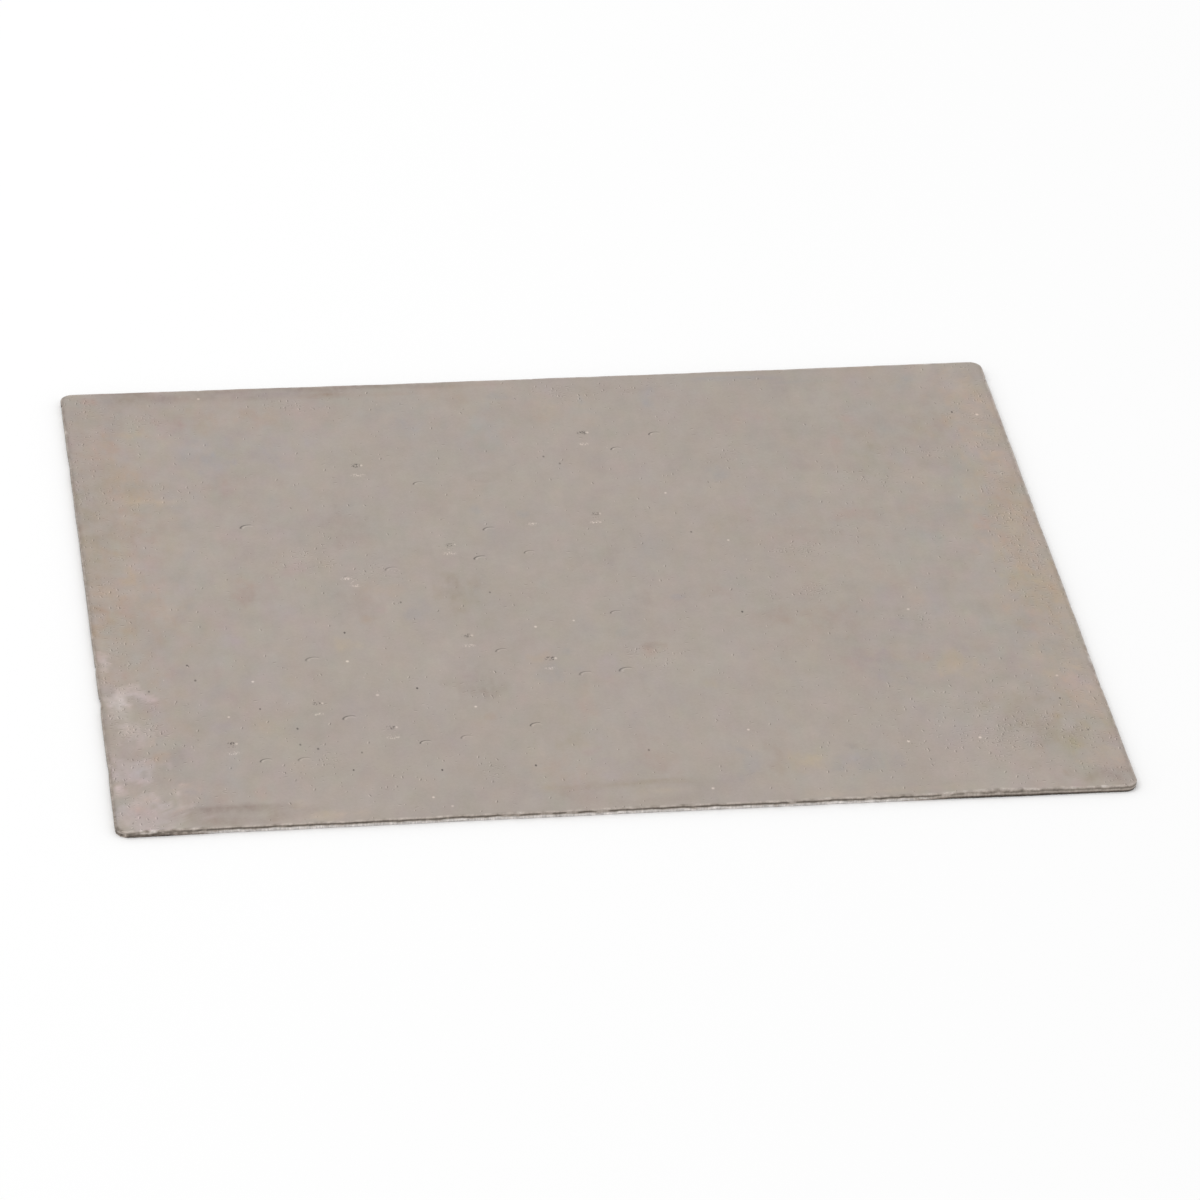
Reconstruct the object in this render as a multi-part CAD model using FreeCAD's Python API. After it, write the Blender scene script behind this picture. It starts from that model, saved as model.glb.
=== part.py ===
"""Nickel plate: one flat piece of rolled nickel, cut to size on a guillotine shear and lying flat.

The plate is a single solid in one node, nickel_plate. It has no holes, bends or fittings. What gives it its
shape is the way it was cut:

- Each of the four cut edges is slightly hollow, a very shallow arc that dips inward between its corners.
- The four corners are eased to a small radius so that they don't cut hands or packing.
- The section of every cut edge is that of sheared metal. From the top face down it has a rolled-over
  shoulder where the blade drew the metal down, an upright burnished land, and a fracture face that slopes
  inward to the underside.

Frame: the origin is the centre of the underside. +X runs along the length, +Y along the width and +Z up,
out of the top face. The plate rests on Z = 0. All sizes are millimetres.
"""

import FreeCAD, Part
import os

# Overall size.
PLATE_LENGTH = 150.0  # corner to corner along X
PLATE_WIDTH = 125.0  # corner to corner along Y
PLATE_THICKNESS = 1.0

# How far the middle of a cut edge lies inside the straight line between its two corners.
LONG_EDGE_HOLLOW = 0.30  # the front and back edges, which run along X
SHORT_EDGE_HOLLOW = 0.10  # the left and right edges, which run along Y

# Corners and the section of a sheared edge.
CORNER_RADIUS = 2.0
ROLLOVER_RADIUS = 0.18  # shoulder between the top face and the burnished land
FRACTURE_HEIGHT = 0.45  # how far the fracture face reaches up from the underside
FRACTURE_SETBACK = 0.05  # how far the fracture face has moved inward at the underside

NODE_FOLDER = "parts"


def corner_points():
    """The plate's four sharp corners on the underside, anticlockwise from the front left."""
    half_length = PLATE_LENGTH / 2
    half_width = PLATE_WIDTH / 2
    return [
        FreeCAD.Vector(-half_length, -half_width, 0),
        FreeCAD.Vector(half_length, -half_width, 0),
        FreeCAD.Vector(half_length, half_width, 0),
        FreeCAD.Vector(-half_length, half_width, 0),
    ]


def hollow_edge(start, end, hollow):
    """One cut edge from start to end: an arc whose middle lies `hollow` nearer the plate's centre."""
    middle = (start + end) / 2
    outward = FreeCAD.Vector(middle).normalize()
    return Part.Arc(start, middle - outward * hollow, end).toShape()


def outline():
    """The plate's plan as a face: four hollow edges joined by eased corners.

    Shrinking the sharp-cornered plan by the corner radius and growing it back by the same amount leaves the
    long arcs where they were and puts an arc that is tangent to both of them into each corner.
    """
    corners = corner_points()
    hollows = [LONG_EDGE_HOLLOW, SHORT_EDGE_HOLLOW, LONG_EDGE_HOLLOW, SHORT_EDGE_HOLLOW]
    ends = corners[1:] + corners[:1]
    edges = [hollow_edge(*edge) for edge in zip(corners, ends, hollows)]
    sharp_plan = Part.Face(Part.Wire(edges))
    return sharp_plan.makeOffset2D(-CORNER_RADIUS).makeOffset2D(CORNER_RADIUS)


def rim_edges(solid, height):
    """The edges that lie flat at one height: the rim of the top face or of the underside."""
    tolerance = PLATE_THICKNESS / 100
    flat = [edge for edge in solid.Edges if edge.BoundBox.ZLength < tolerance]
    return [edge for edge in flat if abs(edge.CenterOfMass.z - height) < tolerance]


def nickel_plate():
    """The finished plate: its plan raised to full thickness, with a sheared section all round."""
    solid = outline().extrude(FreeCAD.Vector(0, 0, PLATE_THICKNESS))
    solid = solid.makeFillet(ROLLOVER_RADIUS, rim_edges(solid, PLATE_THICKNESS))
    solid = solid.makeChamfer(FRACTURE_HEIGHT, FRACTURE_SETBACK, rim_edges(solid, 0))
    return solid


def report(name, solid):
    """Prints the facts that show whether the solid is sound."""
    box = solid.optimalBoundingBox()
    print(
        name,
        "valid" if solid.isValid() else "NOT VALID",
        f"{len(solid.Solids)} solid, {len(solid.Faces)} faces,",
        f"{box.XLength:.3f} x {box.YLength:.3f} x {box.ZLength:.3f} mm,",
        f"{solid.Volume:.1f} mm3",
    )


def main():
    """Builds the node, prints its facts and writes its STEP file."""
    os.makedirs(NODE_FOLDER, exist_ok=True)
    nodes = {"nickel_plate": nickel_plate()}
    for name, solid in nodes.items():
        report(name, solid)
        solid.exportStep(os.path.join(NODE_FOLDER, name + ".step"))


main()
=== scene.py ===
# %% [markdown]
# # A rolled nickel plate, sheared to size
#
# The object is one flat piece of raw stock: a sheet of nickel, rolled to gauge, left matt and slightly
# stained by handling, and cut to size on a guillotine shear. There is very little shape to draw, so the
# likeness is in three things: the true plan with its eased corners, the torn section of the cut edges, and
# a quiet, uneven surface. This notebook makes them in that order and then lights them plainly.
#
# Blender works in metres. The notebook thinks in millimetres and multiplies by MM when it hands over.

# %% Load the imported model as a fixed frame
import math

import bpy
import numpy as np
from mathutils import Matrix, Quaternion, Vector


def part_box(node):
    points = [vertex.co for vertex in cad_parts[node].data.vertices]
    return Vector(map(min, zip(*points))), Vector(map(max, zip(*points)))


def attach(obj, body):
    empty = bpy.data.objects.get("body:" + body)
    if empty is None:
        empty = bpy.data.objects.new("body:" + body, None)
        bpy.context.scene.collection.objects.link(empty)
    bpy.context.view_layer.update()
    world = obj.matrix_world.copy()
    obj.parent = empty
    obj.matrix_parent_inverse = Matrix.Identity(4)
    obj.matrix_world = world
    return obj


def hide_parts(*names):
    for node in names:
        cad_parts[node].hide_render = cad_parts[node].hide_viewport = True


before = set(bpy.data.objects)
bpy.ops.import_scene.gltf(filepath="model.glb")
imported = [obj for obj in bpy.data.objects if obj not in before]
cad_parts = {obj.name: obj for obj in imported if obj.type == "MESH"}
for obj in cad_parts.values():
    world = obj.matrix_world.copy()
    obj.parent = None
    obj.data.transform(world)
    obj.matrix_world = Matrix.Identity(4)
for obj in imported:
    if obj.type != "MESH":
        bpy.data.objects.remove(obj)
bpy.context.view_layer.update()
MM = 0.001

# %% [markdown]
# ## Sizes
#
# The length, width and thickness come from the frame, so the finish fits it whatever its size. The rest are
# the shop sizes of the cut: how hollow each sheared edge is, how far the corners are eased, and the heights
# at which the section of a sheared edge changes its character.

# %% Driving sizes, in millimetres
node_low, node_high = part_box("nickel_plate")
HALF_LENGTH = node_high.x / MM
HALF_WIDTH = node_high.y / MM
THICKNESS = (node_high.z - node_low.z) / MM
LONG_EDGE_HOLLOW = 0.30
SHORT_EDGE_HOLLOW = 0.10
CORNER_RADIUS = 2.0
ROLLOVER_DEPTH = 0.16  # how far the blade drew the top face down at its rim
ROLLOVER_REACH = 0.26  # how far in from the rim that shoulder starts
FRACTURE_HEIGHT = 0.45  # the torn part of the section reaches this far up from the underside
FRACTURE_SETBACK = 0.05
print("half length, half width, thickness, mm:", HALF_LENGTH, HALF_WIDTH, THICKNESS)

# %% [markdown]
# ## Camera
#
# A long lens a little under a metre away looks down on the plate from its front, a few degrees to its left.
# The far edge then comes out only slightly shorter than the near one. The camera is set by where it aims, how
# far off it stands, its compass turn, its height and its roll.

# %% Camera
AIM = Vector((2.985, -5.537, THICKNESS)) * MM
DISTANCE = 0.9527
AZIMUTH = math.radians(-9.195)
ELEVATION = math.radians(32.035)
ROLL = math.radians(2.527)
LENS = 187.3


def make_camera():
    """A camera on a sphere round the aim point, looking at that point, then rolled about its line of sight."""
    away = Vector(
        (
            math.sin(AZIMUTH) * math.cos(ELEVATION),
            -math.cos(AZIMUTH) * math.cos(ELEVATION),
            math.sin(ELEVATION),
        )
    )
    data = bpy.data.cameras.new("camera")
    data.lens = LENS
    data.sensor_width = 36.0
    data.clip_start = 0.01
    data.clip_end = 20.0
    camera = bpy.data.objects.new("camera", data)
    camera.location = AIM + away * DISTANCE
    camera.rotation_mode = "QUATERNION"
    camera.rotation_quaternion = (-away).to_track_quat("-Z", "Y") @ Quaternion((0, 0, 1), ROLL)
    bpy.context.scene.collection.objects.link(camera)
    bpy.context.scene.camera = camera
    return camera


camera = make_camera()
print("camera at", [round(c, 4) for c in camera.location])

# %% [markdown]
# ## Uneven fields
#
# Rolled metal, torn edges and stains all need smooth randomness. It could come from a noise library, but a
# few dozen sine waves with random headings and phases, added up, do the same job in one line of numpy. They
# can be stretched along any axis, they are the same on every run, and because they live in space they join
# up by themselves round a closed edge.


# %% A smooth random field
def waves(place, size, seed, count=28):
    """Sum of `count` sine waves with random headings. `size` is the wave length in mm, one number or one for
    each axis, and each wave is between 0.6 and 1.8 times that long. The sum is divided by the root of half
    the count, so it swings about zero by roughly one."""
    random = np.random.default_rng(seed)
    heading = random.normal(size=(count, 3))
    heading /= np.linalg.norm(heading, axis=1, keepdims=True)
    turns = heading / random.uniform(0.6, 1.8, (count, 1)) * 2 * math.pi
    phases = random.uniform(0, 2 * math.pi, count)
    total = np.zeros(place.shape[:-1])
    for turn, phase in zip(turns / size, phases):
        total += np.sin(place @ turn + phase)
    return total / math.sqrt(count / 2)


def ramp(value, start, end):
    """A smooth step: 0 before start, 1 after end, and three t squared less two t cubed in between."""
    share = np.clip((value - start) / (end - start), 0, 1)
    return share * share * (3 - 2 * share)


trial = waves(np.random.default_rng(0).uniform(-50, 50, (2000, 3)), 8.0, 1)
print("field spread:", round(float(trial.std()), 2))

# %% [markdown]
# ## Plan of the plate
#
# A guillotine blade bows a little, so each cut edge is a very shallow hollow arc. The corners are then eased
# with a file. The plan is worked out as one closed loop of points, anticlockwise from the front left corner.
# A Bevel modifier could ease the corners, but then the points would no longer be evenly spaced, and the torn
# edge needs them so.

# %% The closed outline
CELLS_ALONG = 220  # squares of the top face's grid along X
CELLS_ACROSS = 180  # and along Y; the outline has two points to each square


def outline():
    """Four sides, each a straight run whose middle is drawn in by hollow times (1 - s squared), s from -1 to
    1. A point beyond both centre lines of a corner's arc is then pulled onto that arc, along its radius."""
    along = np.arange(2 * CELLS_ALONG) / CELLS_ALONG - 1
    across = np.arange(2 * CELLS_ACROSS) / CELLS_ACROSS - 1
    long_dip = LONG_EDGE_HOLLOW * (1 - along**2)
    short_dip = SHORT_EDGE_HOLLOW * (1 - across**2)
    front = np.stack([HALF_LENGTH * along, long_dip - HALF_WIDTH], -1)
    right = np.stack([HALF_LENGTH - short_dip, HALF_WIDTH * across], -1)
    plan = np.concatenate([front, right, -front, -right])
    centre = np.sign(plan) * (np.array([HALF_LENGTH, HALF_WIDTH]) - CORNER_RADIUS)
    spoke = (plan - centre) * np.sign(plan)
    reach = np.linalg.norm(spoke, axis=1, keepdims=True)
    in_corner = (spoke > 0).all(axis=1, keepdims=True)
    pulled = centre + (plan - centre) * np.minimum(1, CORNER_RADIUS / np.maximum(reach, 1e-6))
    return np.where(in_corner, pulled, plan)


def outward(loop):
    """Unit normals of a closed plan loop: the chord between each point's neighbours, turned a quarter."""
    chord = np.roll(loop, -1, axis=0) - np.roll(loop, 1, axis=0)
    normal = np.stack([chord[:, 1], -chord[:, 0]], -1)
    return normal / np.linalg.norm(normal, axis=1, keepdims=True)


plan = outline()
plan_normal = outward(plan)
step_length = np.linalg.norm(np.roll(plan, -1, axis=0) - plan, axis=1)
distance_round = np.concatenate([[0], np.cumsum(step_length)[:-1]])
PERIMETER = step_length.sum()
print("outline:", len(plan), "points,", round(PERIMETER, 1), "mm round")

# %% [markdown]
# ## Section of a sheared edge
#
# A shear first draws the metal down into a rolled shoulder, then cuts a clean upright land, and at last the
# rest tears. So the section has a smooth top, a smooth middle and a rough, slightly undercut foot. Handling
# adds small nicks. The section is a table of insets and heights, one row for each level down the edge and
# one column for each point of the outline. Every change is inward, so the plate never outgrows its stock.

# %% Nicks and bruises of the rim
BRUISES = [
    # x, y, width along the edge, depth inward, all mm
    (-75.0, 41.0, 5.0, 0.09),
    (-75.0, 19.0, 6.0, 0.05),
    (-75.0, -18.2, 1.4, 0.10),
    (-75.0, -27.6, 3.4, 0.20),
    (-75.0, -45.6, 4.0, 0.10),
    (-75.0, 59.0, 0.45, 0.28),
    (-58.0, -62.5, 6.0, 0.06),
    (-24.0, -62.5, 9.0, 0.05),
    (30.5, -62.5, 5.0, 0.07),
    (48.0, -62.5, 8.0, 0.05),
    (-20.0, 62.5, 12.0, 0.05),
    (22.0, 62.5, 8.0, 0.04),
    (75.0, 56.9, 0.5, 0.22),
    (75.0, 12.0, 9.0, 0.06),
    (75.0, -33.0, 5.0, 0.07),
]
SMALL_NICKS = 110


def gap_round(start):
    """Distance in mm from a place on the outline to every point of it, the shorter way round."""
    return np.abs((distance_round - start + PERIMETER / 2) % PERIMETER - PERIMETER / 2)


def place_on_rim(x, y):
    """How far round the outline its nearest point to (x, y) lies."""
    return distance_round[np.argmin(np.hypot(plan[:, 0] - x, plan[:, 1] - y))]


def bell(gap, width):
    """A bell curve one high that has fallen to 1/e at half of `width`."""
    return np.exp(-((2 * gap / width) ** 2))


def bruised_inset():
    """The outline's own unevenness: the named bruises and a slight slow wander, all inward."""
    place = np.column_stack([plan, np.zeros(len(plan))])
    inset = 0.012 * (1 + np.clip(waves(place, 9.0, 11), -1, 1))
    for x, y, width, depth in BRUISES:
        inset += depth * bell(gap_round(place_on_rim(x, y)), width)
    return inset


def nicked_inset():
    """Small nicks in the arris, at random places, each 0.3 to 1.1 mm wide and up to 0.1 mm deep."""
    random = np.random.default_rng(21)
    inset = np.zeros(len(plan))
    for _ in range(SMALL_NICKS):
        gap = gap_round(random.uniform(0, PERIMETER))
        inset += 0.09 * random.uniform() ** 2 * bell(gap, random.uniform(0.3, 1.1))
    return inset


bruises = bruised_inset()
nicks = nicked_inset()
print("deepest bruise and nick, mm:", round(bruises.max(), 2), round(nicks.max(), 2))

# %% The section, level by level
ROLLOVER_LEVELS = 6
LAND_LEVELS = 4
FRACTURE_LEVELS = 8
FOOT_EASING = 0.03  # the very foot is worn round by this much


HEAVY_FROM = (42, 50)  # x at which the heavy rollover starts and is complete, mm
HEAVY_EASES = (60, 72)  # x between which it eases off towards the corner, mm
HEAVY_LOSS = 0.6  # share of it that is lost by then


def heavy_rollover():
    """How heavily each point of the rim was drawn down by the blade: 1 on the right part of the front edge,
    easing off towards the corner, and 0 elsewhere."""
    on_front = ramp(-plan_normal[:, 1], 0.6, 0.9)
    eased = 1 - HEAVY_LOSS * ramp(plan[:, 0], *HEAVY_EASES)
    return on_front * ramp(plan[:, 0], *HEAVY_FROM) * eased


def section():
    """Inset and height of each level. The shoulder is a quarter ellipse, the land is upright, the fracture
    slopes in and is roughened by a short field, and the last level tucks under to the resting face."""
    place = np.column_stack([plan, np.zeros(len(plan))])
    heavy = heavy_rollover()
    depth = ROLLOVER_DEPTH * (1 + 0.8 * heavy) * (1 + 0.25 * np.clip(waves(place, 6.0, 12), -1.5, 1.5))
    reach = ROLLOVER_REACH * (1 + 1.6 * heavy) * (1 + 0.20 * np.clip(waves(place, 7.0, 13), -1.5, 1.5))
    tear_line = FRACTURE_HEIGHT + 0.07 * waves(place, 3.0, 14) + 0.03 * waves(place, 0.9, 15)
    tear_line = np.clip(tear_line, 0.22, 0.64)

    angle = np.linspace(0, math.pi / 2, ROLLOVER_LEVELS)[:, None]
    shoulder_inset = reach * (1 - np.sin(angle))
    shoulder_height = THICKNESS - depth * (1 - np.cos(angle))

    share = (np.arange(LAND_LEVELS) + 1)[:, None] / LAND_LEVELS
    land_height = shoulder_height[-1] + (tear_line - shoulder_height[-1]) * share
    land_inset = np.zeros_like(land_height)

    share = (np.arange(FRACTURE_LEVELS) + 1)[:, None] / FRACTURE_LEVELS
    torn_height = tear_line + (FOOT_EASING - tear_line) * share
    round_plate = np.broadcast_to(plan, (FRACTURE_LEVELS, len(plan), 2))
    torn_place = np.concatenate([round_plate, torn_height[..., None]], -1)
    roughness = 0.016 * waves(torn_place, (0.8, 0.8, 0.3), 16) + 0.012 * waves(torn_place, 0.45, 17)
    torn_inset = FRACTURE_SETBACK * share + ramp(share, 0, 0.3) * (0.02 + roughness)

    inset = np.concatenate([shoulder_inset, land_inset, torn_inset, torn_inset[-1:] + FOOT_EASING])
    height = np.concatenate([shoulder_height, land_height, torn_height, torn_height[-1:] * 0])
    near_arris = ramp(height, 0.35 * THICKNESS, 0.9 * THICKNESS)
    return np.maximum(inset + bruises + nicks * near_arris, 0), height, tear_line


section_inset, section_height, tear_line = section()
print("section levels:", len(section_inset), " tear line, mm:", round(tear_line.mean(), 2))

# %% [markdown]
# ## One closed surface
#
# The faces and the cut edges are one surface: a square grid over the middle of the top, rings that lead from
# it to the shoulder, the levels of the section, and the same thing again, coarser, underneath. Where the
# surface needs finer detail the next loop has twice as many points, joined by three triangles to a step. A
# subdivided box would be simpler, but it would spend its faces on the flat middle and not on the torn edge.

# %% Collect points and faces
BORDER = 6.0  # width of the strip of rings between the grid and the edge
RING_SHARES = (0.14, 0.28, 0.42, 0.55, 0.67, 0.78, 0.88, 0.95)  # how far across that strip each ring lies
UNDERSIDE_STEP = 0.5
FACE_FINISH, CUT_FINISH = 0, 1  # which material a face takes
points, faces = [], []


def add_points(plan_points, height):
    """Adds a block of points and returns their numbers in the shape of the block."""
    first = sum(len(block) for block in points)
    heights = np.broadcast_to(height, plan_points.shape[:-1])[..., None]
    block = np.concatenate([plan_points, heights], -1).reshape(-1, 3)
    points.append(block)
    return first + np.arange(len(block)).reshape(plan_points.shape[:-1])


def add_faces(*corners, finish):
    """Adds faces whose corners, in order, are the matching numbers of these arrays."""
    block = np.stack([np.ravel(c) for c in corners], -1)
    faces.append((block, np.full(len(block), finish)))


def skin(upper, lower, finish):
    """Joins two closed loops, the upper one nearer to the middle of the top face. Loops of one length are
    joined by quads. Where one has twice the points of the other, three triangles span each coarse step."""
    upper_next = np.roll(upper, -1)
    lower_next = np.roll(lower, -1)
    if len(upper) == len(lower):
        add_faces(lower, lower_next, upper_next, upper, finish=finish)
    elif len(lower) == 2 * len(upper):
        start, middle, end = lower[0::2], lower[1::2], lower_next[1::2]
        add_faces(start, middle, upper, finish=finish)
        add_faces(middle, upper_next, upper, finish=finish)
        add_faces(middle, end, upper_next, finish=finish)
    else:
        start, middle, end = upper[0::2], upper[1::2], upper_next[1::2]
        add_faces(lower, middle, start, finish=finish)
        add_faces(lower, lower_next, middle, finish=finish)
        add_faces(lower_next, end, middle, finish=finish)


def middle_grid(cells_along, cells_across, height):
    """A flat grid over the middle of a face. Returns its point numbers and those of its border, as a loop."""
    x = np.linspace(BORDER - HALF_LENGTH, HALF_LENGTH - BORDER, cells_along + 1)
    y = np.linspace(BORDER - HALF_WIDTH, HALF_WIDTH - BORDER, cells_across + 1)
    grid = add_points(np.stack(np.meshgrid(x, y), -1), height)
    loop = np.concatenate([grid[0, :-1], grid[:-1, -1], grid[-1, :0:-1], grid[:0:-1, 0]])
    return grid, loop


def plan_of(numbers):
    """The plan positions of points that were already added."""
    return np.concatenate(points)[numbers, :2]


def rings(loop, start, end, shares, height):
    """Adds a loop for each share of the way from one plan loop to another, each joined to the one before it.
    Returns the last."""
    for share in shares:
        ring = add_points(start + (end - start) * share, height)
        skin(loop, ring, FACE_FINISH)
        loop = ring
    return loop


def build_surface():
    """Lays the loops from the middle of the top face, over the edge, to the middle of the underside. Returns
    the point numbers of the section, level by level."""
    levels = plan - plan_normal * section_inset[..., None]
    cut = [add_points(level, height) for level, height in zip(levels, section_height)]

    grid, loop = middle_grid(CELLS_ALONG, CELLS_ACROSS, THICKNESS)
    add_faces(grid[:-1, :-1], grid[:-1, 1:], grid[1:, 1:], grid[1:, :-1], finish=FACE_FINISH)
    loop = rings(loop, plan_of(loop), levels[0, ::2], RING_SHARES, THICKNESS)
    skin(loop, cut[0], FACE_FINISH)

    for upper, lower in zip(cut, cut[1:]):
        skin(upper, lower, CUT_FINISH)

    grid, middle_loop = middle_grid(CELLS_ALONG // 2, CELLS_ACROSS // 2, 0.0)
    add_faces(grid[:-1, :-1], grid[1:, :-1], grid[1:, 1:], grid[:-1, 1:], finish=FACE_FINISH)
    loop = add_points((levels[-1] - plan_normal * UNDERSIDE_STEP)[::2], 0.0)
    skin(cut[-1], loop, FACE_FINISH)
    loop = rings(loop, levels[-1, ::4], plan_of(middle_loop), (0.25, 0.6), 0.0)
    skin(loop, middle_loop, FACE_FINISH)
    return np.stack(cut)


cut_points = build_surface()
place = np.concatenate(points)
triangles = sum(len(block) * (block.shape[1] - 2) for block, _ in faces)
print("points:", len(place), " triangles:", triangles)

# %% [markdown]
# ## Hand marks
#
# Small pits, bright flecks and short hooked scuffs are scattered over the top face. Each is two millimetres
# across or less, finer than the mesh can colour by itself. So every point of the mesh carries its own offset
# from the nearest mark, and the material draws the mark from that offset, as sharp as it likes. The mesh does
# take the shallow dent that goes with each mark.

# %% Where the marks are
HOOKS = [
    (-49, 20), (-21, 31), (-28, 6), (-11.6, 16.6), (-14, 8.2), (-6.2, 9.3), (11.5, 39.3), (18.2, 43.5),
    (-42.6, -18.6), (-14, -18.4), (-2.2, -25.7), (4, -25.1), (-38.7, -35), (-52, -45.4), (-46.4, -45.5),
    (-28.2, -42.4), (-22, -41.5), (-11.4, -39), (4.7, -9),
]
PITS = [
    (-0.1, 37.6), (2.2, 35.3), (19.9, 13.2), (-27.4, -3.8), (-27.6, -27.9), (-61.2, -19), (-60.3, -23.2),
    (-67.4, -25.7), (-51.4, -31.7), (-46.4, -37.4), (-46.4, -41.7), (-43.9, -43), (-36.8, -11.7),
    (-37.6, -44.5), (-39.3, -49), (-26.4, -50), (-12.6, -49.9), (4.5, -47.2), (24.2, -10.5), (67.4, 46.6),
    (-13.5, -2), (70.5, -47), (68, -38.2),
]
FLECKS = [
    (17.6, 25.1), (25.3, 10.3), (71.3, 45.5), (-56.2, -33.5), (-33.7, -29.3), (-37.2, -19.7),
    (-51.8, -24.2), (-26, -59.5), (-28.5, -57), (-7.8, -12.3), (-1.8, -11), (-19.5, -33.6), (12.4, -58),
    (20, -43), (49.7, -11.75), (68.8, -32), (43.2, -48), (54, -47.8), (-53, 59.5),
]
CRUSHED_DARK = [
    (-30, 37), (7, 44.5), (5.7, 19.7), (-18, 12.2), (-18.5, -14), (-6.7, -21.3), (-42.8, -30.9),
    (-32.6, -38.2), (-56.4, -40.7),
]
CRUSHED_LIGHT = [
    (-30, 34), (6.75, 41), (5.5, 17.2), (-18.3, 9.7), (-18.5, -16.8), (-7, -24), (-43, -33.8),
    (-32.6, -40.9), (-56.4, -43.2), (-4.5, 17.4), (-33.7, 1.5), (-35, 3.6),
]
HOOK, PIT, FLECK, DARK_CHIPS, LIGHT_CHIPS = 1.0, 2.0, 3.0, 4.0, 5.0
DENT_DEPTH = {HOOK: 0.022, PIT: 0.03, FLECK: 0.012, DARK_CHIPS: 0.025, LIGHT_CHIPS: 0.015}  # mm
MARKS = {HOOK: HOOKS, PIT: PITS, FLECK: FLECKS, DARK_CHIPS: CRUSHED_DARK, LIGHT_CHIPS: CRUSHED_LIGHT}
DENT_WIDTH = 1.5
MARK_REACH = 1.3  # a mark is drawn no further than this from its middle, mm
MARK_SPREAD = (0.8, 1.0)  # marks are wider than they are deep, so distances along X count for less


def mark_list():
    """Middle, kind, size and force of every mark. Sizes and forces are spread by a seeded draw."""
    random = np.random.default_rng(31)
    middles = np.array([middle for marks in MARKS.values() for middle in marks], dtype=float)
    kinds = np.repeat(list(MARKS), [len(marks) for marks in MARKS.values()])
    sizes = random.uniform(0.85, 1.15, len(kinds))
    forces = random.uniform(0.65, 1.15, len(kinds))
    return middles, kinds, sizes, forces


def mark_fields(place):
    """For every point: offset to the nearest mark's middle with the mark's kind, how near it is (1 on the
    mark, 0 past its reach), the mark's force, and the dent that all the marks press in there."""
    middles, kinds, sizes, forces = mark_list()
    dent = np.zeros(len(place))
    nearest = np.full(len(place), 1e3)
    owner = np.zeros(len(place), dtype=int)
    for number, (middle, kind) in enumerate(zip(middles, kinds)):
        away = place[:, :2] - middle
        dent += DENT_DEPTH[kind] * bell(np.hypot(*away.T), DENT_WIDTH)
        gap = np.hypot(*(away * MARK_SPREAD).T)
        owner[gap < nearest] = number
        nearest = np.minimum(gap, nearest)
    offset = (place[:, :2] - middles[owner]) / sizes[owner][:, None]
    on_top = place[:, 2] > THICKNESS / 2
    near = np.clip((MARK_REACH - nearest) / 0.3, 0, 1) * on_top
    return np.column_stack([offset, kinds[owner]]), near, forces[owner], dent


mark_place, mark_near, mark_force, mark_dent = mark_fields(place)
print("marks:", sum(map(len, MARKS.values())), " points near one:", int((mark_near > 0).sum()))

# %% [markdown]
# ## The rolled faces are not quite flat
#
# Sheet from the rolls keeps a slight waviness, a few hundredths of a millimetre, and handling leaves dents as
# shallow. It is far too little to measure with a rule, but it moves the reflections about. It only ever goes
# down from the top face and up from the underside, so the thickness stays the most that it can be.

# %% Relief
WAVE_DEPTH = 0.012


def faces_relief(place):
    """New heights: down from the top by the sheet's waviness and the marks' dents, both fading out over the
    shoulder, and up from the underside by the waviness alone."""
    wavy = waves(place, (30.0, 60.0, 50.0), 41) + 0.6 * waves(place, (9.0, 22.0, 20.0), 42)
    wavy = WAVE_DEPTH * np.clip(1.2 + 0.6 * wavy, 0, 2.4)
    on_top = ramp(place[:, 2], THICKNESS - ROLLOVER_DEPTH, THICKNESS)
    under = place[:, 2] < 1e-6
    return place[:, 2] - on_top * (wavy + mark_dent) + under * 0.4 * wavy


place[:, 2] = faces_relief(place)
print("heights, mm:", round(place[:, 2].min(), 3), "to", round(place[:, 2].max(), 3))

# %% [markdown]
# ## Stains
#
# The plate has been wetted, dried and handled. What is left is a map of very faint stains, blue where the
# film is thinnest, through mauve and ochre to umber along the back edge, with a few pale blooms and a ring
# or two where drops dried. None of them differs from clean metal by more than a tenth or so. Painting them
# by hand would need a picture file. A noise texture alone would put them anywhere. So each stain is an oval
# with a worn outline, laid at its own place, and the colour at each point is the product of all of them.

# %% Stain colours, as what they do to clean metal
STAIN_COLOURS = {
    "ochre": (1.03, 1.00, 0.955),
    "cream": (1.05, 1.035, 1.01),
    "orange": (1.01, 0.955, 0.91),
    "russet": (0.98, 0.945, 0.93),
    "mauve": (1.00, 0.96, 0.98),
    "pink": (1.025, 0.985, 0.98),
    "blue": (0.955, 0.98, 1.02),
    "lilac": (0.985, 0.985, 1.025),
    "teal": (0.965, 1.00, 1.015),
    "olive": (0.96, 0.95, 0.91),
    "smudge": (0.96, 0.955, 0.95),
    "umber": (0.90, 0.875, 0.865),
    "bloom": (1.14, 1.15, 1.20),
    "frost": (1.09, 1.095, 1.14),
    "yellow": (1.05, 1.03, 0.955),
    "handled": (1.00, 0.965, 0.94),
}

print("stain colours:", len(STAIN_COLOURS))

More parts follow.
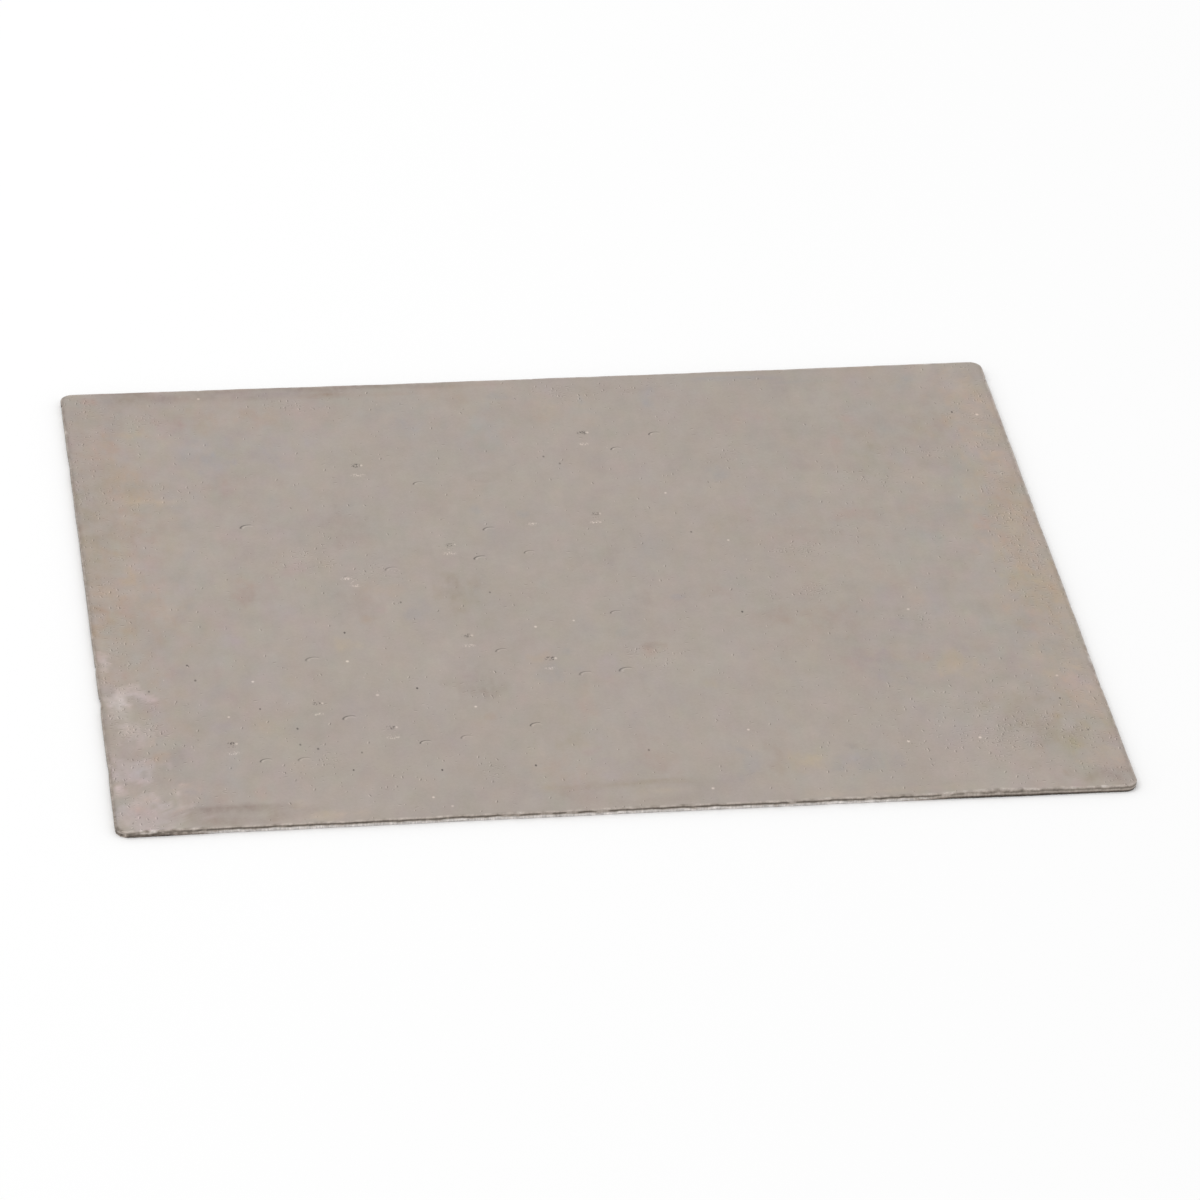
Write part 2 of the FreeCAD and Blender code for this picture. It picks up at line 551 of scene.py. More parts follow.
# %% Stains of the back half: colour, x from and to, y from and to, all mm, and strength
BACK_STAINS = [
    ("pink", -72, -69, 59, 61, 1.2),
    ("ochre", -68.5, -62.5, 48, 50, 1.0),
    ("orange", -70, -67, 43, 48, 0.7),
    ("mauve", -62, -56, 48, 56, 0.9),
    ("orange", -56, -50.5, 48, 56, 0.6),
    ("orange", -46.5, -40, 50, 56, 0.8),
    ("pink", -38.5, -30, 48, 57.5, 0.8),
    ("blue", -59, -53.7, 37.5, 48, 0.9),
    ("blue", -54.5, -49.5, 37, 42, 1.2),
    ("russet", -53, -50, 29, 36, 0.9),
    ("lilac", -49.5, -35.5, 38.7, 48.6, 1.0),
    ("ochre", -70.7, -63.7, 27, 39.5, 0.8),
    ("pink", -69, -67, 27, 35, 1.2),
    ("cream", -62.4, -58.3, 27, 29.4, 1.0),
    ("russet", -70.7, -64.5, 14.5, 23.7, 0.7),
    ("orange", -72.4, -68.7, 12, 15, 0.9),
    ("olive", -75.5, -72.2, -4, 36, 0.8),
    ("handled", -78, -62, -30, 66, 0.8),
    ("handled", -78, -68, -66, 0, 0.5),
    ("yellow", -68.7, -66.6, 4.5, 8.7, 1.1),
    ("smudge", -37, -30, 14.5, 22.8, 1.2),
    ("mauve", -45, -41, 5.3, 9.5, 1.0),
    ("russet", -52.8, -48.7, -3, 5, 1.1),
    ("mauve", -47.8, -45.7, 0, 6, 1.0),
    ("ochre", -32.8, -27, -2, 2, 0.6),
    ("blue", -24.5, -15.3, 47, 58, 0.6),
    ("russet", -14, -10, 53.7, 58, 0.7),
    ("blue", -6.6, -3.2, 55, 58, 1.0),
    ("teal", -11, -5.3, 38.7, 52, 1.0),
    ("pink", -0.3, 5.5, 48, 57, 0.9),
    ("teal", 6, 10.5, 50, 52.8, 0.9),
    ("blue", 17.6, 20, 51, 57, 1.4),
    ("blue", 7.6, 8.8, 53, 56, 1.3),
    ("smudge", -2, 6.3, 5, 10, 0.7),
    ("smudge", -20.7, -18, -3, 4, 1.1),
    ("blue", -13.6, -11.6, 21.4, 23.4, 1.1),
    ("blue", -6.5, -4.5, 19.3, 21.3, 1.1),
    ("blue", 60, 64, 55, 58.7, 0.9),
    ("russet", 59.7, 67, 38, 46, 0.7),
    ("cream", 67, 74, 35, 58, 0.5),
    ("cream", 69.7, 73, 38.7, 41, 0.9),
    ("cream", 69.7, 73, 32, 34, 0.9),
    ("mauve", 64.7, 67, 9, 14.5, 1.0),
    ("ochre", 66.3, 74.6, -3, 27, 0.6),
    ("handled", 66, 80, -70, 66, 0.6),
    ("cream", 66, 76, -30, 60, 0.6),
    ("russet", 43.4, 48.8, 14.5, 18.7, 0.9),
    ("russet", 31.7, 41.7, 9, 15, 0.6),
    ("blue", 25.5, 28.8, 28.7, 32, 1.0),
    ("smudge", 38.8, 45, 30, 32.8, 0.8),
    ("smudge", 49.7, 54, 20.7, 25, 0.8),
    ("olive", 49.7, 54.7, 27.4, 36, 0.6),
    ("pink", 32, 37, 45.7, 50, 1.0),
    ("pink", 48.5, 51, 44.5, 47, 1.1),
    ("pink", 46, 48, 35.3, 40.7, 1.1),
    ("pink", 53.4, 56.3, 15.3, 18.7, 1.0),
    ("pink", 28, 31, 16.6, 21.6, 1.0),
]

print("stains of the back half:", len(BACK_STAINS))

# %% Stains of the front half
FRONT_STAINS = [
    ("ochre", -74.5, -60.3, -10.5, 2, 0.4),
    ("russet", -74.5, -64, -9, 0, 0.5),
    ("bloom", -74.6, -72.8, -19.7, -14.7, 1.0),
    ("bloom", -74.6, -68.2, -29.2, -23.8, 1.25),
    ("bloom", -73.8, -70.2, -35.0, -27.0, 0.8),
    ("frost", -72.8, -68.4, -41.0, -33.0, 0.9),
    ("frost", -74.6, -67.4, -49.6, -43.4, 1.3),
    ("cream", -74.5, -66.6, -55, -49, 0.9),
    ("frost", -76.5, -64.0, -64, -53.2, 1.25),
    ("mauve", -73, -66, -62, -55, 0.6),
    ("cream", -67.4, -62, -57, -51.7, 1.2),
    ("pink", -60.3, -57.8, -56.3, -54, 1.2),
    ("pink", -55, -52, -56, -51.7, 1.1),
    ("cream", -48.7, -47, -58.8, -56.3, 1.1),
    ("umber", -65, -48.7, -61, -57.2, 0.5),
    ("cream", -48.7, -39.5, -61.3, -59.3, 1.1),
    ("orange", -68.7, -66.6, -45, -40.5, 0.8),
    ("smudge", -35.8, -30.8, -8.8, 0.8, 1.3),
    ("orange", -34.5, -32, -9.7, -7.2, 1.0),
    ("mauve", -31.8, -29.8, -6.9, -4.9, 1.2),
    ("yellow", -38.7, -35.3, -17.2, -13.8, 0.7),
    ("lilac", -57.8, -52, -14.7, -11, 1.1),
    ("blue", -27, -24.5, -9, -6, 1.1),
    ("lilac", -59, -56, -38, -34.7, 1.1),
    ("olive", -21.6, -15, -6.3, 2, 1.0),
    ("ochre", -9.6, -7, -22.6, -20, 1.1),
    ("blue", -10, -5, -27, -22.6, 1.0),
    ("blue", -5, -3, -20.3, -18.3, 1.2),
    ("umber", 7.6, 11, -19.6, -18.2, 0.7),
    ("pink", 8, 10.6, -22, -19.8, 1.2),
    ("lilac", -0.8, 5, -27, -21.3, 1.0),
    ("teal", 4, 6, -16, -14, 1.1),
    ("umber", -22.4, -14.5, -32, -23.8, 0.6),
    ("russet", -20, -17.4, -31.2, -28.8, 0.9),
    ("orange", -18.4, -16, -38, -35.6, 0.9),
    ("mauve", -5, -2, -48, -46, 1.4),
    ("olive", -9.5, -3.2, -46, -41.7, 0.9),
    ("orange", -12.8, -5.3, -56.3, -48.8, 0.6),
    ("lilac", -4, 3, -54.7, -49, 1.1),
    ("russet", 3.4, 8.4, -54, -46.7, 0.9),
    ("blue", 17, 20.5, -55, -47, 1.0),
    ("russet", 21.7, 24.7, -55, -47, 0.9),
    ("pink", -4, -1.2, -38, -30, 1.1),
    ("yellow", 15, 17.6, -31.3, -28.7, 0.7),
    ("russet", 18, 23, -6.3, -2, 0.8),
    ("smudge", 8.5, 12.5, -8, -4, 0.9),
    ("blue", 14, 15.4, -6.2, -4.8, 1.4),
    ("russet", 28, 31.3, -15, -9.7, 0.9),
    ("russet", 33.4, 41.3, -18, -10, 0.8),
    ("mauve", 37, 42.6, -29, -21.3, 1.1),
    ("blue", 41, 47, -31.3, -23.8, 0.9),
    ("orange", 48.8, 51.3, -27, -24.7, 0.9),
    ("yellow", 50.8, 57, -30.4, -25, 1.0),
    ("olive", 56.3, 67, -44, -36.7, 0.9),
    ("olive", 60.5, 71.3, -51, -44, 0.9),
    ("yellow", 24.7, 30.2, -54.6, -49.7, 1.1),
    ("blue", 31.3, 39.7, -56, -48.8, 1.1),
    ("umber", 33.4, 37.6, -49.3, -47.8, 0.6),
    ("russet", 66.3, 74.6, -16, 2, 0.3),
    ("ochre", 66.3, 74.6, -16, 2, 0.4),
    ("cream", 70, 72, -6, -4, 1.1),
    ("cream", 69.7, 73, -39.7, -29.7, 0.8),
    ("cream", 68, 74.6, -56.3, -51.7, 0.9),
    ("umber", 67, 74.6, -60.5, -57.6, 0.7),
]

print("stains of the front half:", len(FRONT_STAINS))

# %% Drawn-out stains: colour, x from and to, y, width of the line, all mm, and strength
LINE_STAINS = [
    ("umber", -70, -26, 60.6, 3.4, 0.9),
    ("umber", -64, -48, 60.2, 2.4, 0.5),
    ("umber", -72, -56, 61.9, 0.9, 0.7),
    ("lilac", -54, -34, 60.6, 1.6, 1.2),
    ("umber", -44, -8, 61.6, 1.5, 1.0),
    ("russet", -40, -12, 59.2, 1.0, 1.2),
    ("russet", -22, 0, 60.6, 0.8, 0.9),
    ("smudge", 2, 16, 58.6, 0.9, 1.1),
    ("smudge", 12, 28, 57.4, 0.9, 0.9),
    ("blue", 24, 44, 59.9, 1.0, 1.1),
    ("teal", 38, 54, 58.1, 0.9, 1.1),
    ("smudge", -8, 60, 61.6, 0.8, 0.7),
    ("cream", -50, -38, -60.3, 1.3, 1.4),
    ("cream", 24, 54, -60.6, 1.0, 1.0),
    ("olive", -14, 12, -55.8, 0.8, 1.1),
    ("cream", 0, 11, -58.1, 1.2, 1.0),
    ("umber", -66, -48, -57.6, 1.1, 1.4),
    ("olive", -75, -70, 18.0, 1.2, 0.8),
    ("cream", -70, -57, 28.2, 1.2, 1.3),
]

print("drawn-out stains:", len(LINE_STAINS))

# %% Dried rings: colour, middle, half widths, width of the line, all mm, and strength
DRIED_RINGS = [
    ("umber", (2.6, -58.0), (10.0, 2.6), 1.3, 0.3),
    ("umber", (-56.9, -59.1), (8.2, 1.9), 1.2, 0.6),
    ("russet", (9.3, -19.6), (1.6, 1.3), 0.7, 0.7),
    ("smudge", (-10.5, 32.0), (2.0, 1.1), 0.7, 0.9),
]

print("dried rings:", len(DRIED_RINGS))

# %% Lay the stains
SOFT_OUTLINE = (0.25, 1.45)  # distances in half widths at which a patch starts to fade and has gone
CRISP_OUTLINE = (0.80, 1.12)
CRISP_COLOURS = ("bloom", "frost", "cream")


def mixed_in(tint, colour, mask):
    """The tint times the stain's colour, as far as the mask lets it in."""
    return tint * (1 + mask[:, None] * (np.array(STAIN_COLOURS[colour]) - 1))


def stain_tint(place):
    """Product of every stain's colour, each mixed in by its mask. A patch's mask falls from 1 to 0 as the
    distance from its middle, in half widths, passes one. A line's mask is a bell across it, fading at its
    ends. A ring's is 1 on its oval and falls to each side. The distances are roughened by a field drawn out
    along the rolling direction, Y, and a line by one drawn out along itself."""
    x, y = place[:, 0], place[:, 1]
    worn = 0.28 * waves(place, (2.4, 5.0, 6.0), 51) + 0.20 * waves(place, (1.7, 2.6, 3.0), 52)
    drift = waves(place, (14.0, 5.0, 6.0), 55)
    break_up = np.clip(0.95 + 0.25 * waves(place, (9.0, 1.6, 4.0), 56), 0, 1.4)
    tint = np.ones((len(place), 3))
    for colour, left, right, front, back, strength in BACK_STAINS + FRONT_STAINS:
        across = (2 * x - left - right) / (right - left)
        along = (2 * y - front - back) / (back - front)
        start, end = CRISP_OUTLINE if colour in CRISP_COLOURS else SOFT_OUTLINE
        tint = mixed_in(tint, colour, strength * (1 - ramp(np.hypot(across, along) + worn, start, end)))
    for colour, left, right, middle, width, strength in LINE_STAINS:
        fade = ramp(x, left, left + 5) * (1 - ramp(x, right - 6, right))
        across_line = bell(y - middle - 0.22 * drift, 1.2 * width)
        tint = mixed_in(tint, colour, strength * fade * break_up * across_line)
    for colour, middle, half_widths, line, strength in DRIED_RINGS:
        gap = np.abs(np.hypot(*((place[:, :2] - middle) / half_widths).T) - 1) * min(half_widths)
        tint = mixed_in(tint, colour, strength * (1 - ramp(gap + 0.3 * worn, 0.2 * line, line)))
    return tint


CLOUD_SWING = 0.014
RED_SWING = (0.007, -0.004, 0.0)  # what one unit of the red field does to each colour
YELLOW_SWING = (0.003, 0.002, -0.010)


def mottling(place):
    """Cloudiness of about one part in a hundred: one field for all three colours, and two for its hue, one
    that trades red for green and one that trades yellow for blue. It is stronger towards the left and right
    edges, where the plate was held."""
    cloud = 0.6 * waves(place, (16.0, 24.0, 20.0), 53) + 0.5 * waves(place, (4.0, 7.0, 6.0), 54)
    cloud += 0.35 * waves(place, (2.2, 3.6, 3.0), 66)
    red = 0.6 * waves(place, (9.0, 14.0, 9.0), 57) + 0.7 * waves(place, (3.0, 5.0, 4.0), 58)
    yellow = 0.6 * waves(place, (11.0, 16.0, 9.0), 59) + 0.7 * waves(place, (3.4, 5.5, 4.0), 60)
    hue = red[:, None] * np.array(RED_SWING) + yellow[:, None] * np.array(YELLOW_SWING)
    handled = 1 + 0.6 * ramp(np.abs(place[:, 0]), HALF_LENGTH - 45, HALF_LENGTH - 10)
    return 1 + handled[:, None] * (CLOUD_SWING * cloud[:, None] + hue)


# Painted shade: the face is darkened along the shoulder of the left and right edges.
SIDE_ARRIS_PAINTED_SHADE = 0.87  # the last half millimetre of the face along the left and right edges
SIDE_ARRIS_BAND = (0.3, 0.9)  # distances from those edges between which the shade fades out, mm

tint = stain_tint(place) * mottling(place)
short_dips = SHORT_EDGE_HOLLOW * (1 - (place[:, 1] / HALF_WIDTH) ** 2)
from_side = HALF_LENGTH - short_dips - np.abs(place[:, 0])
# Painted shade along the left and right edges of the face.
tint *= 1 - (1 - SIDE_ARRIS_PAINTED_SHADE) * (1 - ramp(from_side, *SIDE_ARRIS_BAND))[:, None]
on_underside = place[:, 2] < THICKNESS / 4
tint[on_underside] = mottling(place[on_underside]) ** 2
print("tint, darkest and lightest:", tint.min().round(3), tint.max().round(3))

# %% [markdown]
# ## Colour of the cut
#
# The sheared section reads as stripes that follow the edge, and much of them is painted light and shade: a
# bright lip, a painted highlight where the shoulder turns over, a dark polished land, a painted dark
# reflection, a pale torn band and a dark foot, mostly a painted contact shadow. At the right end of the front
# edge the shoulder is wider and the stripes are plain. Further left the foot is bright, a painted reflection
# of the white floor, and the land is broken by light flecks. The stripes are a list of shades from the foot to
# the lip, read off by height, with a small wander so that no stripe is ruled.

# %% Shades from foot to lip
STRIPE_HEIGHTS = (0.00, 0.14, 0.24, 0.34, 0.50, 0.58, 0.68, 0.80, 0.90, 1.00)  # shares of the thickness
# Painted light and shade: the lip's highlight, the land's dark reflection, the foot's contact shadow, and in the
# bright list the white floor's reflection on the foot.
FULL_PAINTED_LIGHT_STRIPES = (0.34, 0.32, 0.60, 1.18, 1.18, 0.70, 0.36, 0.44, 1.05, 1.14)
HEAVY_PAINTED_LIGHT_STRIPES = (0.34, 0.30, 0.34, 0.55, 0.95, 1.00, 0.85, 0.42, 0.52, 1.14)
BRIGHT_FOOT_PAINTED_LIGHT_STRIPES = (1.70, 1.80, 1.85, 1.80, 1.30, 0.60, 0.30, 0.34, 0.80, 1.05)
CORNER_STRIPES = (0.50, 0.55, 0.62, 0.66, 0.60, 0.55, 0.50, 0.54, 0.72, 0.98)
# The painted shade is warmed and the painted highlights and reflections are cooled towards white.
DARK_WARMTH = np.array([1.03, 1.0, 0.95])
BRIGHT_COOLNESS = np.array([0.97, 1.06, 1.15])


# The bright foot is a painted reflection of the white floor.
BRIGHT_FOOT_ENDS = (38, 50)  # x between which the bright foot of the front edge fades out, mm
CORNER_RUN = (17, 7)  # distances from the left end at which the corner's stripes start and are complete, mm


def cut_tint():
    """Shade of each level at each point round the edge, painted highlight, reflections and contact shadow
    included: the three lists of stripes read at that height, and mixed by where on the edge the point is. The
    land's flecks are where a short field is at its highest."""
    round_plate = np.column_stack([plan, np.zeros(len(plan))])
    share = section_height / THICKNESS
    share = share + 0.03 * waves(round_plate, 2.6, 61) + 0.02 * waves(round_plate, 0.8, 62)
    full = np.interp(share, STRIPE_HEIGHTS, FULL_PAINTED_LIGHT_STRIPES)
    bright = np.interp(share, STRIPE_HEIGHTS, BRIGHT_FOOT_PAINTED_LIGHT_STRIPES)
    corner = np.interp(share, STRIPE_HEIGHTS, CORNER_STRIPES)
    on_front = ramp(-plan_normal[:, 1], 0.6, 0.9)
    to_left = on_front * (1 - ramp(plan[:, 0], *BRIGHT_FOOT_ENDS))
    run_start, run_full = (HALF_LENGTH - distance for distance in CORNER_RUN)
    at_corner = ramp(-plan[:, 0], run_start, run_full) * ramp(-plan[:, 1], 50, 60)
    on_left = ramp(-plan_normal[:, 0], 0.6, 0.9)
    shade = full + to_left * (bright - full)
    shade = shade + heavy_rollover() * (np.interp(share, STRIPE_HEIGHTS, HEAVY_PAINTED_LIGHT_STRIPES) - shade)
    shade = shade + at_corner * (corner - shade)
    # Painted shade along the shoulder of the left edge.
    shade = shade * (1 - 0.2 * on_left * ramp(share, 0.8, 0.9))
    on_land = ramp(share, 0.5, 0.6) * (1 - ramp(share, 0.8, 0.95))
    fleck = ramp(waves(round_plate, 2.2, 63), 0.9, 1.5) * on_land
    shade = shade + 0.8 * fleck * (1.05 - shade)
    section_place = np.broadcast_to(plan, (*section_height.shape, 2))
    section_place = np.concatenate([section_place, section_height[..., None]], -1)
    burr = waves(section_place, (0.9, 0.9, 0.45), 65)
    lit_burr = 0.9 * ramp(burr, 0.5, 1.2) * (1.3 - shade)
    dark_burr = 0.35 * ramp(-burr, 0.4, 1.2) * shade
    shade = shade + at_corner * (lit_burr - dark_burr)
    shade *= 1 + 0.08 * waves(section_place, (1.1, 1.1, 0.5), 64)
    warmth = DARK_WARMTH ** np.clip((1 - shade[..., None]) * 2, 0, 1)
    coolness = BRIGHT_COOLNESS ** np.clip((shade[..., None] - 1.1) * 2, 0, 1)
    return shade[..., None] * warmth * coolness


cut_shade = cut_tint()
tint[cut_points[1:]] = cut_shade[1:]
# The arris of the top face takes the lip's painted highlight.
tint[cut_points[0]] *= cut_shade[0]
print("cut shades, darkest and lightest:", cut_shade.min().round(2), cut_shade.max().round(2))

# %% [markdown]
# ## Scuffs
#
# Fine scuffs, each a dark dash of painted shade beside a light dash of painted highlight, lie thickest along
# the left and right borders and in a few clusters. The mesh only says how many there are to be; the material
# scatters them.

# %% How thick the scuffs lie
SCUFF_CLUSTERS = [
    # x, y, radius along x and y, density
    (35, 7, 4, 1.6, 0.9), (33, -5, 5, 2.2, 0.9), (44, 12, 2.5, 1.6, 0.8), (68.5, 45.5, 3, 1.2, 0.9),
    (62.5, 34.5, 4.5, 1.4, 0.8), (59, -47, 7, 3, 0.7), (29, 36, 3, 3, 0.4), (-42.8, -46.5, 3, 2, 0.6),
    (-34.3, -55.5, 1.8, 2, 0.8), (-19, -51, 1.8, 2, 0.7), (-51.6, -33, 1.8, 2.4, 0.6), (48.5, -15, 4, 2, 0.4),
    (60, -46, 16, 12, 0.35), (-68, -36, 5, 7, 0.5), (-40, 9, 4, 5, 0.5), (-64, 31, 6, 3, 0.5),
    (-29, 5, 4, 3, 0.5), (71, 8, 4, 16, 0.5), (-19, -29, 3, 2, 0.5), (9, -22, 4, 3, 0.4),
    (-64, 52, 4, 5, 0.4), (50, 27, 6, 3, 0.4), (-36, 56, 8, 2, 0.4), (8, 57, 9, 2, 0.5),
]


def scuff_density(place):
    """A thin scatter everywhere, more within a few mm of the left and right edges, and the clusters."""
    density = 0.035 + 0.26 * ramp(np.abs(place[:, 0]), HALF_LENGTH - 12, HALF_LENGTH - 2)
    for x, y, radius_x, radius_y, most in SCUFF_CLUSTERS:
        gap = np.hypot((place[:, 0] - x) / radius_x, (place[:, 1] - y) / radius_y)
        density += most * bell(gap, 2.0)
    patchy = np.clip(1 + 0.6 * waves(place, (4.0, 6.0, 5.0), 71), 0, 2)
    return np.clip(density * patchy, 0, 1)


scuffs = scuff_density(place)
print("scuff density, mean and most:", scuffs.mean().round(2), scuffs.max().round(2))

# %% [markdown]
# ## A flat map for baked copies
#
# A game or a viewer needs the finish as pictures, laid out on a flat map. Unwrapped by rule, the top and the
# hidden underside would each get half of it. So the map's layout is given here: three quarters of its width
# for the top face, a quarter strip beside it for the four cut edges, and the underside, smaller, above.

# %% Lay out the map
TOP_SCALE = 0.005  # map units for each mm
UNDERSIDE_SCALE = 0.0026
EDGE_STRIP = (0.79, 0.05)  # where the first edge's strip starts across the map, and its width
MAP_MARGIN = 0.008


def bake_map():
    """A place on the map for each corner of each face. The top and the underside keep their plan. An edge's
    strip runs up the map, from one end of the edge to the other, and across it by level."""
    corner_plan = place[np.concatenate([block.ravel() for block, _ in faces])]
    sides = np.concatenate([np.full(len(block), block.shape[1]) for block, _ in faces])
    is_cut = np.repeat(np.concatenate([finish for _, finish in faces]) == CUT_FINISH, sides)
    face_height = np.concatenate([np.repeat(place[b, 2].mean(1), b.shape[1]) for b, _ in faces])
    from_corner = corner_plan[:, :2] + (HALF_LENGTH, HALF_WIDTH)
    top = MAP_MARGIN + from_corner * TOP_SCALE
    under = MAP_MARGIN + from_corner * UNDERSIDE_SCALE + (0, 2 * HALF_WIDTH * TOP_SCALE + MAP_MARGIN)
    mapped = np.where(face_height[:, None] > THICKNESS / 2, top, under)

    level, column = np.divmod(np.concatenate([block.ravel() for block, _ in faces]), len(plan))
    column = column[is_cut].reshape(-1, 4)
    over_the_seam = np.ptp(column, axis=1, keepdims=True) > 1
    column = np.where(over_the_seam & (column == 0), len(plan), column)
    starts = 2 * np.cumsum([0, CELLS_ALONG, CELLS_ACROSS, CELLS_ALONG])
    edge = np.searchsorted(starts, column.min(1), side="right") - 1
    lengths = 2 * np.array([CELLS_ALONG, CELLS_ACROSS, CELLS_ALONG, CELLS_ACROSS])
    share_along = (column - starts[edge][:, None]) / lengths[edge][:, None]
    share_down = level[is_cut].reshape(-1, 4) / (len(section_inset) - 1)
    first, width = EDGE_STRIP
    across = first + width * (edge[:, None] + 0.85 * share_down)
    up = MAP_MARGIN + (2 * HALF_WIDTH * TOP_SCALE - MAP_MARGIN) * share_along
    mapped[is_cut] = np.stack([across, up], -1).reshape(-1, 2)
    return mapped


# %% [markdown]
# ## Put the surface into a mesh
#
# The surface so far is only arrays. Adding faces one at a time would take minutes, so the whole of it goes
# into the mesh at once. The stain colours, with the painted light and shade of the cut and the side edges, the
# marks and the scuffs go with it as fields on its points.

# %% Put the surface into a mesh
def make_plate():
    """One mesh from the collected points and faces, smooth-shaded, with the fields as point attributes."""
    mesh = bpy.data.meshes.new("nickel_plate_surface")
    corners = np.concatenate([block.ravel() for block, _ in faces]).astype(np.int32)
    sides = np.concatenate([np.full(len(block), block.shape[1]) for block, _ in faces])
    starts = np.concatenate([[0], np.cumsum(sides)[:-1]]).astype(np.int32)
    finish = np.concatenate([finish for _, finish in faces]).astype(np.int32)
    mesh.vertices.add(len(place))
    mesh.vertices.foreach_set("co", (place * MM).astype(np.float32).ravel())
    mesh.loops.add(len(corners))
    mesh.loops.foreach_set("vertex_index", corners)
    mesh.polygons.add(len(starts))
    mesh.polygons.foreach_set("loop_start", starts)
    mesh.polygons.foreach_set("material_index", finish)
    mesh.polygons.foreach_set("use_smooth", np.ones(len(starts), dtype=bool))
    mesh.update(calc_edges=True)
    print("mesh needed repair:", mesh.validate())
    # The stain_tint field also carries the painted shade along the side edges and the painted highlight, reflections
    # and contact shadow of the cut.
    colours = np.column_stack([tint, np.ones(len(tint))])
    attribute = mesh.attributes.new("stain_tint", "FLOAT_COLOR", "POINT")
    attribute.data.foreach_set("color", colours.astype(np.float32).ravel())
    attribute = mesh.attributes.new("mark_place", "FLOAT_VECTOR", "POINT")
    attribute.data.foreach_set("vector", mark_place.astype(np.float32).ravel())
    for name, values in {"mark_near": mark_near, "mark_force": mark_force, "scuff_density": scuffs}.items():
        attribute = mesh.attributes.new(name, "FLOAT", "POINT")
        attribute.data.foreach_set("value", values.astype(np.float32))
    layer = mesh.uv_layers.new(name="OFBake", do_init=False)
    layer.uv.foreach_set("vector", bake_map().astype(np.float32).ravel())
    plate = bpy.data.objects.new("rolled_nickel_plate", mesh)
    bpy.context.scene.collection.objects.link(plate)
    return plate


plate = make_plate()
print("faces:", len(plate.data.polygons), " edges:", len(plate.data.edges))

# %% [markdown]
# ## Building shader nodes
#
# A material is a tree of nodes. Two helpers keep the rest short: one adds a node and wires its inputs, the
# other starts a group with named sockets. A group holds an effect once, and each material that uses it gives
# it its own values.

# %% Node helpers
def node(tree, kind, inputs=(), **settings):
    """Adds a node. `inputs` gives, by name or number, each socket's value or the socket that feeds it."""
    made = tree.nodes.new(kind)
    for name, value in settings.items():
        setattr(made, name, value)
    for key, value in dict(inputs).items():
        if isinstance(value, bpy.types.NodeSocket):
            tree.links.new(value, made.inputs[key])
        else:
            made.inputs[key].default_value = value
    return made


def maths(tree, operation, *values):
    """The result of one Math node on numbers or sockets."""
    return node(tree, "ShaderNodeMath", dict(enumerate(values)), operation=operation).outputs[0]


def soft_step(tree, value, start, end, low=0.0, high=1.0):
    """Goes smoothly from low to high as the value goes from start to end."""
    inputs = {"Value": value, "From Min": start, "From Max": end, "To Min": low, "To Max": high}
    return node(tree, "ShaderNodeMapRange", inputs, interpolation_type="SMOOTHSTEP").outputs["Result"]


def times(tree, colour, factor):
    """A colour multiplied by another colour or by a number from a socket."""
    return node(tree, "ShaderNodeVectorMath", {0: colour, 1: factor}, operation="MULTIPLY").outputs[0]


def oval_distance(tree, x, y, half_width, half_depth):
    """How far (x, y) is from nought, where 1 is the outline of an oval of those half widths."""
    across = maths(tree, "DIVIDE", x, half_width)
    along = maths(tree, "DIVIDE", y, half_depth)
    oval = node(tree, "ShaderNodeCombineXYZ", {"X": across, "Y": along})
    return node(tree, "ShaderNodeVectorMath", {0: oval.outputs[0]}, operation="LENGTH").outputs["Value"]


def field(tree, name):
    """The Attribute node that reads one of the mesh's fields."""
    return node(tree, "ShaderNodeAttribute", attribute_name=name)


def new_group(name, inputs, outputs):
    """An empty node group. Both lists hold a socket's name and type, and an input also has its value."""
    group = bpy.data.node_groups.new(name, "ShaderNodeTree")
    for label, kind, value in inputs:
        socket = group.interface.new_socket(label, in_out="INPUT", socket_type=kind)
        if value is not None:
            socket.default_value = value
    for label, kind in outputs:
        group.interface.new_socket(label, in_out="OUTPUT", socket_type=kind)
    return group, node(group, "NodeGroupInput").outputs, node(group, "NodeGroupOutput").inputs


NUMBER, VECTOR, COLOUR = "NodeSocketFloat", "NodeSocketVector", "NodeSocketColor"
print("node helpers ready")

# %% [markdown]
# ## Rolled grain
#
# Rolling draws the surface out into faint streaks along Y, and annealing leaves it evenly matt. Four noise
# textures do it: one stretched along the streaks, one fine and round, one blotchy and one broad. Their sum is a number
# near one that multiplies the colour, and the same streaks, as heights, tilt the surface a very little.

# %% Rolled grain group
STREAK_SWING = 0.035
FINE_SWING = 0.08
BLOTCH_SWING = 0.06
BROAD_SWING = 0.07


